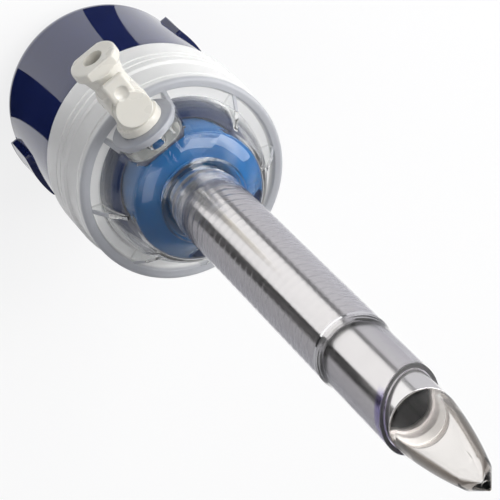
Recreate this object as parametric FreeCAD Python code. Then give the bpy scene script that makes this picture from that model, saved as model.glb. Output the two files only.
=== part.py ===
"""Bladeless optical trocar: a clear-tipped obturator in a ribbed cannula with a gas stopcock.

The object stands on the flat back of its handle. The long axis is Z, with the pointed tip
up. The stopcock points along -Y and the two release buttons face +X and -X. The origin is
the centre of the scope channel's mouth, in the plane of the handle's back face.
Millimetres throughout.
"""
import FreeCAD
import Part
import math
import os

Vector = FreeCAD.Vector
AXIS = Vector(0, 0, 1)
ORIGIN = Vector(0, 0, 0)

# Obturator: the scope channel, the shaft round it and the clear tip
scope_r = 5.1
shaft_wall = 0.9
tip_base_z = 166.5
tip_length = 24.9
tip_wall = 1.25
tip_spigot_length = 6.0
tip_spigot_wall = 0.42
tip_flank_r = 24.0
tip_edge_half = 2.3
tip_shoulder = 1.5
tip_point = 5.6
tip_arch = 0.036

# Cannula tube
tube_gap = 0.15
tube_wall = 0.75
rib_height = 0.5
rib_pitch = 2.65
rib_count = 27
rib_neck_gap = 1.5
rib_groove_depth = 0.2
rib_groove_width = 0.9
rib_lead = 0.6
bevel_below_tip = 4.5
bevel_angle = 30.0
tube_flange = 1.3
tube_flange_height = 1.0

# Handle cap
cap_r = 21.3
cap_height = 35.6
cap_wall = 1.7
cap_round = 7.0
mouth_wall = 1.8
mouth_depth = 8.0
cap_edge = 0.4
back_recess = 0.6
back_recess_inset = 2.6
grip_z = 3.0
grip_height = 3.0
grip_depth = 1.0
grip_notches = 6

# Release buttons and the core that guides them
button_width = 11.4
button_z = 5.3
button_proud = 0.5
button_travel = 2.0
button_gap = 0.3
button_flange = 1.4
button_flange_angle = 46.0
pad_corner = 2.3
ridge_r = 0.35
ridge_pitch = 2.4
arm_inset = 6.2
arm_width = 6.0
arm_thick = 1.8
nose_reach = 2.0
nose_height = 1.5
latch_gap = 0.5
core_plate_gap = 0.8
core_plate = 1.6
core_hub_wall = 1.8
post_r = 2.0
post_inset = 7.7
collar_wall = 1.0
spring_width = 3.0
spring_lift = 3.7
spring_rise = 3.2
spring_foot = 1.2
spring_folds = 4

# Seal unit
lid_gap = 0.6
lid_height = 2.0
lid_mouth_gap = 1.0
lid_rim = 1.3
lid_funnel = 2.4
seal_wall = 1.2
seal_proud = 0.1
spigot_drop = 1.2
spigot_length = 6.3
shelf_drop = 3.7
shelf_height = 1.5
shelf_width = 5.6
clamp_height = 2.2
scallop_r = 1.1
scallop_count = 12
seal_rim_gap = 0.8
fold_height = 2.0
cone_rise = 4.6
petal_rise = 3.6
film = 1.2
lip_gap = 0.12
lip_wall = 0.9
petal_count = 8
petal_gap = 0.6
ring_section_r = 0.55
groove_r_depth = 0.9
oring_groove = 1.3
oring_end_gap = 0.8

# Bayonet between the seal unit and the valve housing
lug_count = 3
lug_angle = 22.0
lug_reach = 1.3
lug_height = 1.8
lug_inset = 1.6
bayonet_turn = 30.0

# Valve housing
housing_proud = 0.7
housing_step = 0.6
housing_step_z = 11.0
housing_wall = 1.6
housing_height = 20.0
front_edge = 1.6
front_recess = 1.5
roof_wall = 1.5
rim_width = 1.9
annulus = 4.4
neck_height = 12.0
neck_wall = 2.0
neck_edge = 0.4
dome_wall = 1.3
dome_arch = 0.06
shoulder_inset = 3.0
shoulder_drop = 3.4
shoulder_arch = 0.12
fin_count = 8
fin_thick = 1.0
fin_rise = 3.0
groove_depth = 0.35
groove_width = 0.5
first_groove = 6.2
second_groove = 8.5
third_groove = 17.0
seat_drop = 3.4

# Duckbill valve and its rings
valve_drop = 7.0
valve_flange = 1.9
valve_flange_gap = 1.3
valve_skin = 1.0
valve_sleeve = 8.0
valve_arch = 0.2
retainer_inset = 2.1
retainer_wall = 1.9
retainer_height = 6.2
retainer_edge = 0.5
valve_clamp_width = 6.8
notch_r = 1.4
notch_count = 6

# Stopcock
stopcock_rise = 5.0
socket_r = 6.3
socket_inset = 2.9
socket_collar = 0.5
socket_collar_length = 1.2
stem_r = 4.0
stem_depth = 2.2
stem_collar = 0.6
stem_collar_length = 2.0
tap_offset = 7.0
tap_barrel_r = 3.9
plug_r = 2.3
plug_floor = 0.9
barrel_gap = 0.4
barrel_rise = 1.2
passage_r = 1.2
branch_r = 3.5
branch_length = 10.5
luer_mouth_r = 2.14
luer_depth = 7.5
luer_taper = 0.03
luer_flange_r = 5.0
luer_flange = 2.2
luer_flat = 1.0
flare_length = 3.0
lever_length = 7.6
lever_thick = 2.0
lever_half = 2.5
dimple_r = 2.0
dimple_inset = 3.2
dimple_rise = 1.2

# Clearances
fit = 0.05
slide = 0.3
small_gap = 0.2

# Radii and X places that follow from the sizes above
shaft_r = scope_r + shaft_wall
hub_r = shaft_r + collar_wall + fit
tube_bore_r = shaft_r + tube_gap
tube_r = tube_bore_r + tube_wall
rib_r = tube_r + rib_height
seat_r = tube_r + tube_flange + fit
neck_r = tube_r + neck_wall
cap_bore_r = cap_r - cap_wall
arm_x = cap_bore_r - arm_inset
post_circle_r = cap_bore_r - post_inset
seal_r = cap_bore_r - slide - 2 * fit
seal_bore_r = seal_r - seal_wall
spigot_r = seal_r - spigot_drop
shelf_bore_r = seal_bore_r - shelf_width
housing_r = cap_r + housing_proud
housing_front_r = housing_r - housing_step
bowl_bore_r = housing_front_r - housing_wall
rim_r = housing_front_r - rim_width
dome_base_r = housing_front_r - annulus
shoulder_r = dome_base_r - shoulder_inset
retainer_r = dome_base_r - retainer_inset
valve_flange_r = bowl_bore_r - valve_flange_gap
socket_reach = housing_front_r - socket_inset
tap_reach = socket_reach + tap_offset
luer_end = tap_reach + branch_length

# Heights that follow from the sizes above
seal_top_z = cap_height + seal_proud
shelf_z = seal_top_z - shelf_drop
seal_z = shelf_z - 2 * (clamp_height + film) - latch_gap - nose_height - small_gap - lid_height
core_plate_z = seal_z - lid_gap - core_plate
button_height = core_plate_z - core_plate_gap - button_z
oring_groove_z = seal_top_z + spigot_length - oring_end_gap - oring_groove
housing_z = seal_top_z + slide
housing_front_z = housing_z + housing_height
floor_z = housing_front_z - front_recess
roof_z = floor_z - roof_wall
neck_z = housing_front_z + neck_height
shoulder_z = neck_z - shoulder_drop
tube_seat_z = neck_z - seat_drop
rib_start_z = neck_z + rib_neck_gap
rib_end_z = rib_start_z + rib_count * rib_pitch
tube_end_z = tip_base_z - bevel_below_tip
tip_z = tip_base_z + tip_length
valve_z = housing_front_z - valve_drop
stopcock_z = housing_front_z + stopcock_rise
barrel_z = housing_front_z + barrel_gap
tap_top = stopcock_z + branch_r + barrel_rise


def point(r, z):
    return Vector(r, 0, z)


def turned(start, *steps):
    """Solid of revolution; a step is an end point, or a pair: a point on the arc, its end."""
    edges = []
    here = point(*start)
    for step in steps + (start,):
        if isinstance(step[0], tuple):
            through, end = point(*step[0]), point(*step[1])
            edges.append(Part.Arc(here, through, end).toShape())
        else:
            end = point(*step)
            if end.distanceToPoint(here) < 1e-6:
                continue
            edges.append(Part.LineSegment(here, end).toShape())
        here = end
    return Part.Face(Part.Wire(edges)).revolve(ORIGIN, AXIS, 360)


def ring(inner_r, outer_r, z, height):
    outer = Part.makeCylinder(outer_r, height, Vector(0, 0, z))
    if inner_r <= 0:
        return outer
    return outer.cut(Part.makeCylinder(inner_r, height, Vector(0, 0, z)))


def block(x0, x1, y_half, z0, z1):
    return Part.makeBox(x1 - x0, 2 * y_half, z1 - z0, Vector(x0, -y_half, z0))


def turn(shape, angle, centre=ORIGIN, axis=AXIS):
    copy = shape.copy()
    copy.rotate(centre, axis, angle)
    return copy


def around(shape, count, first=0.0):
    return [turn(shape, first + 360.0 * i / count) for i in range(count)]


def sector(inner_r, outer_r, z, height, angle):
    """Piece of a ring, centred on +X."""
    face = Part.Face(Part.makePolygon([
        point(inner_r, z), point(outer_r, z), point(outer_r, z + height),
        point(inner_r, z + height), point(inner_r, z)]))
    return turn(face.revolve(ORIGIN, AXIS, angle), -angle / 2)


def radial_rod(r, start, end, z, angle=-90.0):
    """Round bar that points away from the long axis, along -Y unless turned."""
    bar = Part.makeCylinder(r, end - start, Vector(start, 0, z), Vector(1, 0, 0))
    return turn(bar, angle)


def arc_mid(centre_r, centre_z, r, angle):
    a = math.radians(angle)
    return (centre_r + r * math.cos(a), centre_z + r * math.sin(a))


def arch(start, end, rise):
    """Arc between two points as a step; its rise is a share of the chord, to the right of it."""
    across, along = end[0] - start[0], end[1] - start[1]
    middle = ((start[0] + end[0]) / 2 + rise * along, (start[1] + end[1]) / 2 - rise * across)
    return (middle, end)


# Handle


def button_window():
    side = button_width / 2 + button_gap
    window = block(cap_bore_r - 2, cap_r + 2, side, button_z - button_gap,
                   button_z + button_height + button_gap)
    upright = [e for e in window.Edges if abs(e.tangentAt(e.FirstParameter).x) > 0.9]
    return window.makeFillet(pad_corner + small_gap, upright)


def handle_cap():
    round_r = cap_r - cap_round
    inner_round = cap_round - cap_wall
    mouth_r = scope_r + mouth_wall
    cap = turned(
        (scope_r, 0), (round_r, 0),
        (arc_mid(round_r, cap_round, cap_round, -45), (cap_r, cap_round)),
        (cap_r, cap_height - cap_edge), (cap_r - cap_edge, cap_height), (cap_bore_r, cap_height),
        (cap_bore_r, cap_round),
        (arc_mid(round_r, cap_round, inner_round, -45), (round_r, cap_wall)),
        (mouth_r, cap_wall), (mouth_r, mouth_depth), (scope_r, mouth_depth))
    cap = cap.cut(ring(scope_r - 1, scope_r + grip_depth, grip_z, grip_height))
    cap = cap.cut(ring(mouth_r + back_recess_inset / 2, round_r - back_recess_inset, -1, 1 + back_recess))
    window = button_window()
    return cap.cut(window).cut(turn(window, 180))


def scope_grip():
    """Soft ring that holds the scope, with relief notches on its back edge."""
    grip = ring(scope_r, scope_r + grip_depth - fit, grip_z + fit, grip_height - 2 * fit)
    notch = block(0, scope_r + grip_depth + 1, grip_depth / 2, grip_z - 1, grip_z + 0.4 * grip_height)
    return grip.cut(Part.makeCompound(around(notch, grip_notches)))


def handle_core():
    """Plate with a hub for the shaft, four posts to the cap, and slots for the latch arms."""
    hub = ring(hub_r, hub_r + core_hub_wall, mouth_depth + small_gap, core_plate_z - mouth_depth)
    plate = ring(hub_r, cap_bore_r - fit, core_plate_z, core_plate)
    post = Part.makeCylinder(post_r, core_plate_z - cap_wall, Vector(post_circle_r, 0, cap_wall))
    core = hub.fuse([plate] + around(post, 4, 45))
    slot = block(arm_x - button_travel - slide, arm_x + arm_thick + nose_reach + slide,
                 arm_width / 2 + slide, core_plate_z - 1, core_plate_z + core_plate + 1)
    return core.cut(slot).cut(turn(slot, 180)).removeSplitter()


def shaft_collar():
    """Pressed ring that fixes the shaft in the core's hub."""
    return ring(shaft_r, shaft_r + collar_wall, mouth_depth + small_gap,
                core_plate_z + core_plate - mouth_depth - small_gap)


def release_button():
    """Side pad in the cap's window, a flange behind it and a latch arm with its nose."""
    z0, z1 = button_z, button_z + button_height
    pad = block(arm_x, cap_r + 3, button_width / 2, z0, z1)
    across = [e for e in pad.Edges if abs(e.tangentAt(e.FirstParameter).x) > 0.9]
    pad = pad.makeFillet(pad_corner, across)
    face_r = cap_r + button_proud
    round_r = face_r - cap_round
    back_r = cap_bore_r - slide - button_flange
    skin = turned(
        (back_r - 1, z0 - 2), (arc_mid(round_r, cap_round, cap_round, -50)[0], z0 - 2),
        (arc_mid(round_r, cap_round, cap_round, -20), (face_r, cap_round)),
        (face_r, z1 + 2), (back_r - 1, z1 + 2))
    pad = pad.common(skin)
    flange = sector(back_r, cap_bore_r - slide, z0 + button_flange,
                    core_plate_z - z0 - button_flange - slide, button_flange_angle)
    stalk_z = z0 + pad_corner + 3 * slide
    stalk = block(arm_x, cap_bore_r - 1, arm_width / 2, stalk_z, core_plate_z - button_travel)
    tip = seal_z + lid_height + small_gap + nose_height
    arm = block(arm_x, arm_x + arm_thick, arm_width / 2, stalk_z, tip)
    nose = Part.Face(Part.makePolygon([
        Vector(arm_x + arm_thick, -arm_width / 2, tip - nose_height),
        Vector(arm_x + arm_thick + nose_reach, -arm_width / 2, tip - nose_height),
        Vector(arm_x + arm_thick, -arm_width / 2, tip),
        Vector(arm_x + arm_thick, -arm_width / 2, tip - nose_height)]))
    nose = nose.extrude(Vector(0, arm_width, 0))
    button = pad.fuse([flange, stalk, arm, nose]).removeSplitter()
    first = z0 + button_height / 2 - ridge_pitch
    for i in range(3):
        corner = Vector(face_r, -button_width, first + i * ridge_pitch)
        button = button.cut(Part.makeCylinder(ridge_r, 2 * button_width, corner, Vector(0, 1, 0)))
    return button


def button_spring():
    """Zigzag leaf spring between the hub and the back of the button's stalk."""
    start = hub_r + core_hub_wall
    step = (arm_x - start) / spring_folds
    foot_z = button_z + spring_lift
    lower = [Vector(start + i * step, -spring_width / 2, foot_z + (i % 2) * spring_rise)
             for i in range(spring_folds + 1)]
    upper = [corner + Vector(0, 0, spring_foot) for corner in reversed(lower)]
    return Part.Face(Part.makePolygon(lower + upper + lower[:1])).extrude(Vector(0, spring_width, 0))


# Obturator


def obturator_shaft():
    start = mouth_depth
    shaft = ring(scope_r, shaft_r, start, tip_base_z - start)
    seat_r = scope_r + tip_spigot_wall + fit
    return shaft.cut(ring(0, seat_r, tip_base_z - tip_spigot_length - fit, tip_spigot_length + 1))


def obturator_tip():
    """Clear hollow nose: a pointed arch in outline with two hollowed flanks."""
    shoulder = (shaft_r, tip_base_z + tip_shoulder)
    nose = turned(
        (0, tip_base_z), (shaft_r, tip_base_z), shoulder,
        arch(shoulder, (shaft_r * 0.5, tip_z - tip_point), tip_arch), (0, tip_z))
    for side in (1, -1):
        centre = Vector(-2 * shaft_r, side * (tip_flank_r + tip_edge_half), tip_z - 1)
        nose = nose.cut(Part.makeCylinder(tip_flank_r, 4 * shaft_r, centre, Vector(1, 0, 0)))
    spigot = ring(0, scope_r + tip_spigot_wall, tip_base_z - tip_spigot_length, tip_spigot_length)
    nose = nose.fuse(spigot).removeSplitter()
    inner = (shaft_r - tip_wall, tip_base_z + tip_shoulder)
    point_z = tip_z - tip_point
    hollow = turned(
        (0, tip_base_z - tip_spigot_length - 1), (scope_r, tip_base_z - tip_spigot_length - 1),
        (scope_r, tip_base_z), inner,
        arch(inner, (shaft_r / 3, point_z - tip_shoulder), tip_arch), (0, point_z + tip_wall))
    return nose.cut(hollow)


# Seal unit


def seal_lid():
    mouth_r = shaft_r + lid_mouth_gap
    top = seal_z + lid_height
    lid = turned(
        (mouth_r + lid_funnel, seal_z), (seal_r, seal_z), (seal_r, top),
        (mouth_r + lid_rim, top), (mouth_r + lid_rim, top + lid_rim),
        (mouth_r, top + lid_rim), (mouth_r, top))
    slot = block(arm_x - button_travel - slide, arm_x + arm_thick + nose_reach + small_gap,
                 arm_width / 2 + slide, seal_z - 1, top + 1)
    return lid.cut(slot).cut(turn(slot, 180))


def seal_housing():
    top = seal_top_z
    end = top + spigot_length
    bore = spigot_r - seal_wall
    groove = oring_groove_z
    body = turned(
        (seal_bore_r, seal_z + lid_height), (seal_r, seal_z + lid_height), (seal_r, top),
        (spigot_r, top), (spigot_r, groove), (spigot_r - groove_r_depth, groove),
        (spigot_r - groove_r_depth, groove + oring_groove), (spigot_r, groove + oring_groove),
        (spigot_r, end), (bore, end),
        (bore, shelf_z + shelf_height), (shelf_bore_r, shelf_z + shelf_height),
        (shelf_bore_r, shelf_z), (seal_bore_r, shelf_z))
    lug = sector(spigot_r - seal_wall / 3, spigot_r + lug_reach, housing_z + lug_inset, lug_height, lug_angle)
    return body.fuse(around(lug, lug_count, bayonet_turn)).removeSplitter()


def seal_ring(z):
    outer = seal_bore_r - fit
    body = ring(shelf_bore_r, outer, z, clamp_height)
    scallop = Part.makeCylinder(scallop_r, clamp_height, Vector(outer + small_gap, 0, z))
    return body.cut(Part.makeCompound(around(scallop, scallop_count, 180.0 / scallop_count)))


def instrument_seal():
    """Thin cone whose lip meets the shaft, with one fold at its rim so that it can float."""
    z = shelf_z - clamp_height - film
    top = z + film
    lip_r = shaft_r + lip_gap
    fold_r = shelf_bore_r - small_gap
    return turned(
        (seal_bore_r - seal_rim_gap, z), (seal_bore_r - seal_rim_gap, top), (fold_r, top),
        (fold_r - 0.8 * lip_wall, top + fold_height), (fold_r - 1.8 * lip_wall, top + fold_height),
        (lip_r + lip_wall, top + cone_rise), (lip_r, top + cone_rise),
        (lip_r, top + cone_rise - lip_wall), (fold_r - 2.2 * lip_wall, top + fold_height / 2),
        (fold_r - 1.7 * lip_wall, top + fold_height / 2), (fold_r - 0.9 * lip_wall, z))


def seal_protector():
    """Crown of thin petals that keeps instrument tips off the seal."""
    z = shelf_z - clamp_height - 2 * film
    inner_r = shaft_r + 3 * slide
    fold_r = shelf_bore_r - lip_wall - 2 * slide
    crown = turned(
        (seal_bore_r - seal_rim_gap, z), (seal_bore_r - seal_rim_gap, z + film), (fold_r, z + film),
        (inner_r, z + film + petal_rise), (inner_r, z + petal_rise + film / 2), (fold_r - slide, z))
    slit = block(0, fold_r, petal_gap / 2, z - 1, z + 2 * film + petal_rise)
    return crown.cut(Part.makeCompound(around(slit, petal_count)))


def seal_oring():
    """Soft ring in the spigot's groove, its round section drawn with eight sides."""
    centre_r = spigot_r - ring_section_r + slide - fit
    centre_z = oring_groove_z + oring_groove / 2
    return turned(*[arc_mid(centre_r, centre_z, ring_section_r, 45 * i + 22.5) for i in range(8)])


# Cannula


def cannula_tube():
    """Flanged tube: a thickened length with a shallow groove between ribs, then a bevelled end."""
    start = tube_seat_z
    shelf = start + tube_flange_height
    outline = [(tube_bore_r, start), (tube_r + tube_flange, start),
               (tube_r + tube_flange, shelf), (tube_r, shelf), (tube_r, rib_start_z),
               (rib_r, rib_start_z + rib_lead)]
    for i in range(1, rib_count):
        z = rib_start_z + i * rib_pitch
        outline += [(rib_r, z - rib_groove_width / 2), (rib_r - rib_groove_depth, z),
                    (rib_r, z + rib_groove_width / 2)]
    end = tube_end_z + 2 * tube_r
    outline += [(rib_r, rib_end_z - rib_lead), (tube_r, rib_end_z), (tube_r, end), (tube_bore_r, end)]
    tube = turned(*outline)
    reach = 4 * tube_r
    knife = Part.makeBox(2 * reach, 2 * reach, reach, Vector(-reach, -reach, 0))
    knife.rotate(ORIGIN, Vector(0, 1, 0), -bevel_angle)
    knife.translate(Vector(0, 0, tube_end_z))
    return tube.cut(knife)


def dome_inside(allowance=0.0):
    """Corners of the hollow under the dome: at the tube's seat, the shoulder and the roof."""
    return ((seat_r, tube_seat_z + allowance),
            (shoulder_r - dome_wall + allowance, shoulder_z - dome_wall / 2 + allowance),
            (dome_base_r - dome_wall + allowance, roof_z + allowance))


def valve_housing():
    """Clear bowl: side wall, recessed front, shouldered dome, neck, fins and stopcock socket."""
    z = housing_z
    front = housing_front_z
    bore = spigot_r + slide
    bayonet_r = bore + lug_reach
    bayonet_z = z + lug_inset - slide
    bayonet_top = z + lug_inset + lug_height + slide + 2 * fit
    edge_r = housing_front_r - front_edge
    foot, shoulder = (dome_base_r, floor_z), (shoulder_r, shoulder_z)
    seat, inner_shoulder, inner_foot = dome_inside()
    body = turned(
        (bore, z), (housing_r - cap_edge, z), (housing_r, z + cap_edge), (housing_r, z + housing_step_z),
        (housing_front_r, z + housing_step_z + slide), (housing_front_r, front - front_edge),
        (arc_mid(edge_r, front - front_edge, front_edge, 45), (edge_r, front)),
        (rim_r, front), (rim_r - neck_edge, floor_z), foot, arch(foot, shoulder, dome_arch),
        arch(shoulder, (neck_r, neck_z - neck_edge), shoulder_arch),
        (neck_r - neck_edge, neck_z), (tube_r + fit, neck_z),
        (tube_r + fit, tube_seat_z + tube_flange_height + fit),
        (seat_r, tube_seat_z + tube_flange_height + fit), seat, inner_shoulder,
        arch(inner_shoulder, inner_foot, -dome_arch),
        (bowl_bore_r, roof_z), (bowl_bore_r, oring_groove_z + 3 * oring_groove),
        (bore, oring_groove_z + oring_groove - small_gap),
        (bore, bayonet_top), (bayonet_r, bayonet_top), (bayonet_r, bayonet_z), (bore, bayonet_z))
    for height in (first_groove, second_groove, third_groove):
        outer = housing_r if height < housing_step_z else housing_front_r
        body = body.cut(ring(outer - groove_depth, outer + 1, z + height, groove_width))
    inner = shoulder_r - dome_wall
    low, high = floor_z - front_recess / 3, shoulder_z - 2 * neck_edge
    fin = Part.Face(Part.makePolygon([Vector(x, -fin_thick / 2, height) for x, height in (
        (inner, low), (rim_r, low), (rim_r, front), (rim_r - 3 * neck_edge, front + fin_rise),
        (shoulder_r + 2 * neck_edge, high), (inner, high), (inner, low))])).extrude(Vector(0, fin_thick, 0))
    seat, inner_shoulder, inner_foot = dome_inside(slide)
    keep_out = turned((0, z), (bowl_bore_r - 1, z), (bowl_bore_r - 1, inner_foot[1]), inner_foot,
                      arch(inner_foot, inner_shoulder, dome_arch), seat, (seat_r, neck_z), (0, neck_z))
    fins = [f.cut(keep_out) for f in around(fin, fin_count, 180.0 / fin_count)]
    socket = radial_rod(socket_r, seat_r, socket_reach, stopcock_z)
    collar_r = socket_r + socket_collar
    collar = radial_rod(collar_r, socket_reach - socket_collar_length, socket_reach, stopcock_z)
    socket = socket.fuse(collar).cut(keep_out)
    body = body.fuse(fins + [socket])
    stem_seat = socket_reach - stem_depth - fit
    body = body.cut(radial_rod(stem_r + fit, stem_seat, socket_reach + 1, stopcock_z))
    body = body.cut(radial_rod(passage_r, neck_r + 1, socket_reach, stopcock_z))
    entry = sector(spigot_r - 1, bayonet_r, z - 1, bayonet_z - z + 1 + slide, lug_angle + 4)
    body = body.cut(Part.makeCompound(around(entry, lug_count, 2 * bayonet_turn)))
    return body.removeSplitter()


def valve_clamp():
    """Ring that holds the valve's flange up against its retainer, notched at its rim."""
    low = valve_z - clamp_height
    body = ring(bowl_bore_r - valve_clamp_width, bowl_bore_r - fit, low, clamp_height - fit)
    notch = Part.makeCylinder(notch_r, clamp_height, Vector(bowl_bore_r, 0, low))
    return body.cut(Part.makeCompound(around(notch, notch_count)))


def duckbill_valve():
    """Silicone valve, spread open round the shaft: flange, sleeve and domed lips."""
    z = valve_z
    outer = retainer_r - retainer_wall - small_gap
    inner = outer - valve_skin
    top = tube_seat_z - small_gap
    lip_r = shaft_r + lip_gap
    bend = (outer, z + valve_sleeve)
    lip = (lip_r, top - valve_skin / 2)
    return turned(
        (inner, z), (valve_flange_r, z), (valve_flange_r, z + valve_flange), (outer, z + valve_flange),
        bend, arch(bend, (lip_r + valve_skin, top), valve_arch), (lip_r, top),
        lip, arch(lip, (inner, z + valve_sleeve - valve_skin / 2), -valve_arch))


def valve_retainer():
    """Flanged ring under the front of the bowl, which clamps the valve and shows round it."""
    z = valve_z + valve_flange + fit
    top = z + retainer_height
    return turned(
        (retainer_r - retainer_wall, z), (valve_flange_r, z), (valve_flange_r, roof_z - fit),
        (retainer_r, roof_z - fit), (retainer_r, top - retainer_edge), (retainer_r - retainer_edge, top),
        (retainer_r - retainer_wall, top))


# Stopcock


def stopcock_body():
    """Stem for the socket, barrel for the tap, and the branch with its luer cone and lugs."""
    z = stopcock_z
    stem = radial_rod(stem_r, socket_reach - stem_depth, tap_reach, z)
    shoulder = radial_rod(stem_r + stem_collar, socket_reach + fit, socket_reach + stem_collar_length, z)
    barrel = Part.makeCylinder(tap_barrel_r, tap_top - barrel_z, Vector(0, -tap_reach, barrel_z))
    neck = luer_end - luer_flange
    branch = radial_rod(branch_r, tap_reach, neck, z)
    flare = Part.makeCone(branch_r, luer_flange_r - stem_collar, flare_length,
                          Vector(neck - flare_length, 0, z), Vector(1, 0, 0))
    flare = turn(flare, -90)
    flange = radial_rod(luer_flange_r, neck, luer_end, z)
    half = luer_flange_r - luer_flat
    flange = flange.common(Part.makeBox(2 * luer_flange_r, luer_flange, 2 * half,
                                        Vector(-luer_flange_r, -luer_end, z - half)))
    body = stem.fuse([shoulder, barrel, branch, flare, flange])
    plug_foot = Vector(0, -tap_reach, barrel_z + plug_floor)
    body = body.cut(Part.makeCylinder(plug_r + fit, tap_top, plug_foot))
    body = body.cut(radial_rod(passage_r, seat_r, luer_end, z))
    inner = luer_mouth_r - luer_taper * luer_depth
    bore = Part.makeCone(inner, luer_mouth_r, luer_depth, Vector(luer_end - luer_depth, 0, z),
                         Vector(1, 0, 0))
    return body.cut(turn(bore, -90)).removeSplitter()


def stopcock_tap():
    """Plug with its cross hole, and the lever that lies over the luer branch when open."""
    low = tap_top + small_gap
    foot = barrel_z + plug_floor + fit
    plug = Part.makeCylinder(plug_r, low + lever_thick / 2 - foot, Vector(0, -tap_reach, foot))
    hub = Part.makeCylinder(tap_barrel_r - small_gap, lever_thick, Vector(0, -tap_reach, low))
    end_y = -tap_reach - lever_length
    arm = Part.makeBox(2 * lever_half, lever_length, lever_thick - 2 * small_gap,
                       Vector(-lever_half, end_y, low + small_gap))
    end_edges = [e for e in arm.Edges if abs(e.tangentAt(e.FirstParameter).z) > 0.9
                 and e.CenterOfMass.y < -tap_reach - 1]
    arm = arm.makeFillet(lever_half * 0.8, end_edges)
    tap = plug.fuse([hub, arm])
    tap = tap.cut(radial_rod(passage_r, tap_reach - tap_barrel_r, tap_reach + tap_barrel_r, stopcock_z))
    dimple = Part.makeSphere(dimple_r, Vector(0, end_y + dimple_inset, low + lever_thick + dimple_rise))
    return tap.cut(dimple).removeSplitter()


parts = {
    "handle_cap": handle_cap(),
    "scope_grip": scope_grip(),
    "handle_core": handle_core(),
    "shaft_collar": shaft_collar(),
    "obturator_shaft": obturator_shaft(),
    "obturator_tip": obturator_tip(),
    "release_button_right": release_button(),
    "release_button_left": turn(release_button(), 180),
    "button_spring_right": button_spring(),
    "button_spring_left": turn(button_spring(), 180),
    "seal_lid": seal_lid(),
    "seal_housing": seal_housing(),
    "seal_ring_upper": seal_ring(shelf_z - 2 * clamp_height - 2 * film),
    "seal_ring_lower": seal_ring(shelf_z - clamp_height),
    "instrument_seal": instrument_seal(),
    "seal_protector": seal_protector(),
    "seal_oring": seal_oring(),
    "cannula_tube": cannula_tube(),
    "valve_housing": valve_housing(),
    "valve_clamp": valve_clamp(),
    "duckbill_valve": duckbill_valve(),
    "valve_retainer": valve_retainer(),
    "stopcock_body": stopcock_body(),
    "stopcock_tap": stopcock_tap(),
}

os.makedirs("parts", exist_ok=True)
for name, shape in parts.items():
    shape.exportStep("parts/" + name + ".step")
    print(name, "solids", len(shape.Solids), "valid", shape.isValid(), "volume", round(shape.Volume, 1))
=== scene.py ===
"""Optical trocar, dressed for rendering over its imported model.

The long axis is Z, tip up, and the stopcock points along -Y. Outlines below are in
millimetres; every finished mesh is in metres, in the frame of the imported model.
"""

import math

import bpy
from mathutils import Matrix, Vector


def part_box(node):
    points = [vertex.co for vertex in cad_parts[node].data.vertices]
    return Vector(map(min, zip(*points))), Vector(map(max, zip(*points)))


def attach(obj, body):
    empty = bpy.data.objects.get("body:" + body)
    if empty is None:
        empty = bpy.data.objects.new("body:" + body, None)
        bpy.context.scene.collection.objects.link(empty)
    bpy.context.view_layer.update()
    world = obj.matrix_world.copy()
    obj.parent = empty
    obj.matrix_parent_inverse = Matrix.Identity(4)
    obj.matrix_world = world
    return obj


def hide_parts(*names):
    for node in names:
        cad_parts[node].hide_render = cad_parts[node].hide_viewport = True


bl_info = {
    "name": "Optical trocar",
    "version": (1, 0, 0),
    "blender": (4, 5, 0),
    "location": "View3D > Sidebar > Trocar",
    "description": "Models and finishes the pieces of an optical trocar",
    "category": "Object",
}

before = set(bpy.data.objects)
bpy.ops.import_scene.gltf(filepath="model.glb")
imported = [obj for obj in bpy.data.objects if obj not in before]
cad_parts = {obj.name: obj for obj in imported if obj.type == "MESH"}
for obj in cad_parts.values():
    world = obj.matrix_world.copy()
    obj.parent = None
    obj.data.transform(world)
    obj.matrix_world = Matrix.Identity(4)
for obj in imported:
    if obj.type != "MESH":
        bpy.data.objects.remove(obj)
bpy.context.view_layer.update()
MM = 0.001


def reach(node, axis, high=True):
    """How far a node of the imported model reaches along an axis, in millimetres."""
    low_corner, high_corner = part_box(node)
    return (high_corner if high else low_corner)[axis] / MM


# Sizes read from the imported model, in millimetres
CAP_R = reach("handle_cap", 1)
CAP_TOP = reach("handle_cap", 2)
SHAFT_R = reach("obturator_shaft", 0)
SHAFT_TOP = reach("obturator_shaft", 2)
SHAFT_FOOT = reach("obturator_shaft", 2, False)
SCOPE_R = reach("scope_grip", 0) - 0.95
TIP_TOP = reach("obturator_tip", 2)
TIP_FOOT = reach("obturator_tip", 2, False)
TUBE_FOOT = reach("cannula_tube", 2, False)
TUBE_TOP = reach("cannula_tube", 2)
HOUSING_R = reach("valve_housing", 0)
HOUSING_FOOT = reach("valve_housing", 2, False)
HOUSING_TOP = reach("valve_housing", 2)
RETAINER_FOOT = reach("valve_retainer", 2, False)
RETAINER_TOP = reach("valve_retainer", 2)
RETAINER_FLANGE_R = reach("valve_retainer", 0)
DUCKBILL_FOOT = reach("duckbill_valve", 2, False)
DUCKBILL_TOP = reach("duckbill_valve", 2)
LUER_END = -reach("stopcock_body", 1, False)
LUER_R = reach("stopcock_body", 0)
BARREL_FOOT = reach("stopcock_tap", 2, False) - 0.95
TAP_TOP = reach("stopcock_tap", 2)
HOUSING_FRONT = HOUSING_FOOT + 20.0
TUBE_BORE = SHAFT_R + 0.15
TUBE_SKIN = TUBE_BORE + 0.75
SPIGOT_R = SCOPE_R + 0.42
TIP_SHOULDER = SHAFT_TOP + 1.5
TIP_POINT = TIP_TOP - 5.6
BRANCH_R = 3.5
BARREL_TOP = reach("stopcock_body", 2)
STOPCOCK_Z = BARREL_TOP - BRANCH_R - 1.2
SHOULDER_R = 14.0
SHOULDER_Z = HOUSING_TOP - 3.4
DOME_FOOT_R = 17.0
BEVEL_ANGLE = 30


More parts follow.
